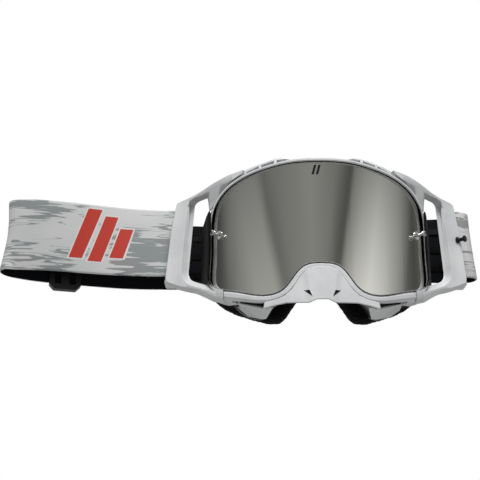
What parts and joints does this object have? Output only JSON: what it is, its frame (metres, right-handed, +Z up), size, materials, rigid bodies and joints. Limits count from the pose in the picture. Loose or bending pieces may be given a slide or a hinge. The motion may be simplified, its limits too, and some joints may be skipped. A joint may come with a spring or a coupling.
{
  "type": "motorcycle goggles",
  "caption": "Off-road goggles with a curved mirror lens in a vented white frame, clip-on nose guard, strap outriggers, layered face foam and a wide elastic strap with a slider.",
  "frame": {"origin": "middle of the face foam's face side, where it meets the wearer's face", "axes": "+X to the right of the front view, +Y toward the wearer's face, +Z up"},
  "size_m": [0.3048, 0.1027, 0.1006],
  "materials": {
    "lens_mirror": "silver mirror coating",
    "white_plastic": "satin gloss white",
    "chrome_post": "polished",
    "steel_bar": "plain",
    "strap_web": "woven elastic, printed outside, black inside",
    "silicone": "glossy silicone",
    "black_plastic": "satin black",
    "foam": "open-cell foam",
    "fleece": "brushed fleece"
  },
  "bodies": {
    "frame": {"lens_seal": "silicone", "outrigger_left": "white_plastic", "strap_bar_left": "steel_bar", "outrigger_right": "white_plastic", "strap_bar_right": "steel_bar", "top_vent_foam_left_1": "foam", "top_vent_foam_left_2": "foam", "top_vent_foam_left_3": "foam", "lower_vent_foam_left": "foam", "top_vent_foam_right_1": "foam", "top_vent_foam_right_2": "foam", "top_vent_foam_right_3": "foam", "lower_vent_foam_right": "foam", "front_frame": "white_plastic", "side_vent_foam_left": "foam", "side_vent_foam_right": "foam", "face_flange": "white_plastic", "foam_base": "foam", "foam_middle": "foam", "foam_fleece": "fleece", "tab_stud": "black_plastic", "strap": "strap_web", "grip_line_1": "silicone", "grip_line_2": "silicone", "grip_line_3": "silicone"},
    "lens": {"lens": "lens_mirror", "tear_off_post_left": "chrome_post", "tear_off_post_right": "chrome_post"},
    "nose_guard": {"nose_guard": "white_plastic"},
    "strap_slider": {"strap_slider": "black_plastic"}
  },
  "joints": [
    {"name": "lens_pull", "type": "slide", "parent": "frame", "child": "lens", "axis": [0, -1, 0], "range_m": [0, 0.04]},
    {"name": "nose_guard_pull", "type": "slide", "parent": "frame", "child": "nose_guard", "axis": [0, -1, 0], "range_m": [0, 0.03]},
    {"name": "slider_travel", "type": "slide", "parent": "frame", "child": "strap_slider", "axis": [0.9651, 0.262, 0], "range_m": [-0.006, 0.03]}
  ]
}
